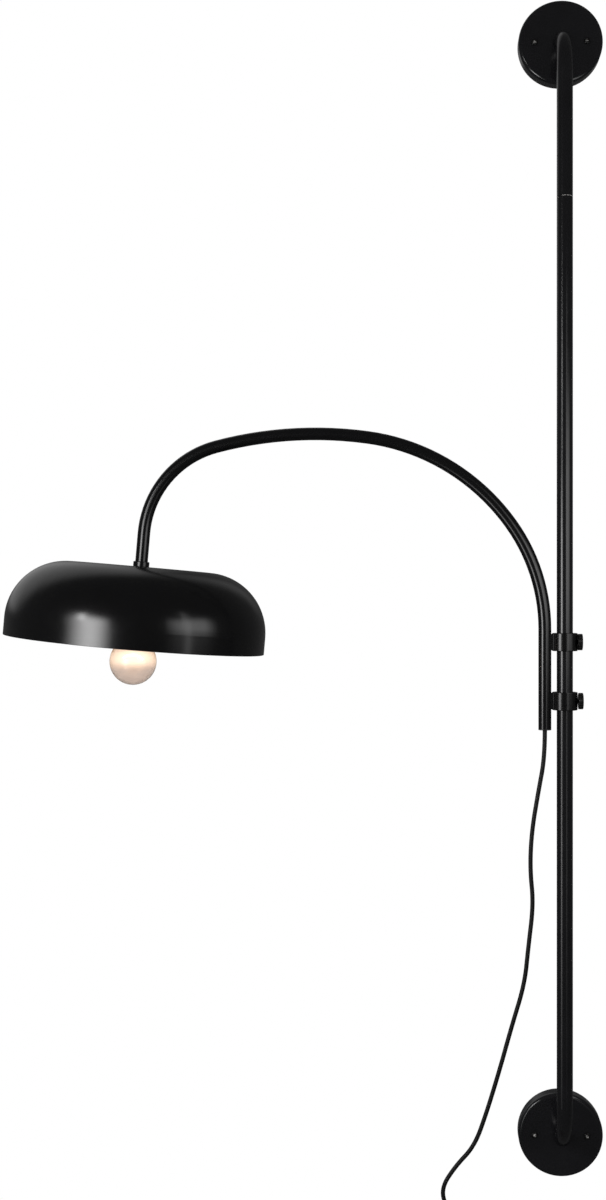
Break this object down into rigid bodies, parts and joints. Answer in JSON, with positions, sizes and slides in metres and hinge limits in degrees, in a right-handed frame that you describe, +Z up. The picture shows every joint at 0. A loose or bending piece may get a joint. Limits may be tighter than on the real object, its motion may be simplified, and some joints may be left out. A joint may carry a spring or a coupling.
{
  "type": "hanging pendant wall sconce",
  "caption": "Plug-in wall light: a tube pole between round wall canopies carries an arched arm that slides and swings, with a wide spun shade over a bulb and a cord from the arm.",
  "frame": {"origin": "middle of the upper wall bracket's back face, on the wall", "axes": "+Y into the wall, +Z up along the pole, +X to the right as seen from the room"},
  "size_m": [0.7638, 0.332, 1.702],
  "materials": {
    "black_steel": "satin powder coat",
    "black_aluminium": "satin powder coat",
    "zinc_steel": "zinc plated",
    "brass": "plain turned brass",
    "nylon": "natural nylon",
    "black_plastic": "moulded, semi-gloss",
    "liner_board": "insulating fibre board",
    "cord_jacket": "matt black jacket",
    "bulb_glass": "clear, lightly frosted",
    "bulb_metal": "rolled screw cap",
    "filament": "glowing"
  },
  "bodies": {
    "pole_frame": {"upper_canopy": "black_steel", "upper_wall_bracket": "zinc_steel", "upper_canopy_screws": "black_steel", "upper_end_plug": "zinc_steel", "upper_bolt_washer": "zinc_steel", "upper_canopy_bolt": "zinc_steel", "upper_pole": "black_steel", "lower_canopy": "black_steel", "lower_wall_bracket": "zinc_steel", "lower_canopy_screws": "black_steel", "lower_end_plug": "zinc_steel", "lower_bolt_washer": "zinc_steel", "lower_canopy_bolt": "zinc_steel", "lower_pole": "black_steel", "pole_joiner": "zinc_steel"},
    "slider": {"upper_bush": "nylon", "lower_bush": "nylon"},
    "arm": {"upper_collar": "black_steel", "lower_collar": "black_steel", "arm_tube": "black_steel", "tube_bushing": "black_plastic", "arm_cord": "cord_jacket", "arm_end_insert": "brass", "lock_ring": "black_steel", "shade_nipple": "zinc_steel", "shade": "black_aluminium", "lock_nut": "zinc_steel", "socket_cap": "black_steel", "socket_shell": "black_steel", "socket_liner": "liner_board", "switch_block": "black_plastic", "screw_shell": "brass", "centre_contact": "brass", "bulb_glass": "bulb_glass", "bulb_cap": "bulb_metal", "bulb_tip_contact": "black_plastic", "bulb_stem": "bulb_glass", "bulb_filament": "filament", "cord": "cord_jacket", "cord_coil": "cord_jacket", "cord_tail": "cord_jacket", "cord_tie": "black_plastic", "plug_relief": "black_plastic", "plug_body": "black_plastic", "plug_blades": "bulb_metal"},
    "upper_pad": {"upper_pressure_pad": "brass"},
    "upper_knob": {"upper_thumb_screw": "black_steel"},
    "lower_pad": {"lower_pressure_pad": "brass"},
    "lower_knob": {"lower_thumb_screw": "black_steel"},
    "key": {"switch_key": "black_plastic"}
  },
  "joints": [
    {"name": "arm_height", "type": "slide", "parent": "pole_frame", "child": "slider", "axis": [0, 0, 1], "range_m": [-0.494, 0.702]},
    {"name": "arm_swing", "type": "hinge", "parent": "slider", "child": "arm", "pos_m": [0, -0.075, -0.7711], "axis": [0, 0, 1], "range_deg": [0, 180]},
    {"name": "upper_pad_travel", "type": "slide", "parent": "arm", "child": "upper_pad", "axis": [1, 0, 0], "range_m": [0, 0.0016]},
    {"name": "upper_knob_turn", "type": "hinge", "parent": "upper_pad", "child": "upper_knob", "pos_m": [0.0165, -0.075, -0.7711], "axis": [1, 0, 0], "range_deg": [0, 720]},
    {"name": "lower_pad_travel", "type": "slide", "parent": "arm", "child": "lower_pad", "axis": [1, 0, 0], "range_m": [-0.0008, 0.0008]},
    {"name": "lower_knob_turn", "type": "hinge", "parent": "lower_pad", "child": "lower_knob", "pos_m": [0.0173, -0.075, -0.8448], "axis": [1, 0, 0], "range_deg": [-360, 360]},
    {"name": "switch_turn", "type": "hinge", "parent": "arm", "child": "key", "pos_m": [-0.53829, -0.075, -0.7033], "axis": [0, -1, 0], "continuous": true}
  ],
  "couplings": [
    {"joint": "upper_knob_turn", "follows": "upper_pad_travel", "rad_per_m": 7854},
    {"joint": "lower_knob_turn", "follows": "lower_pad_travel", "rad_per_m": 7854}
  ]
}
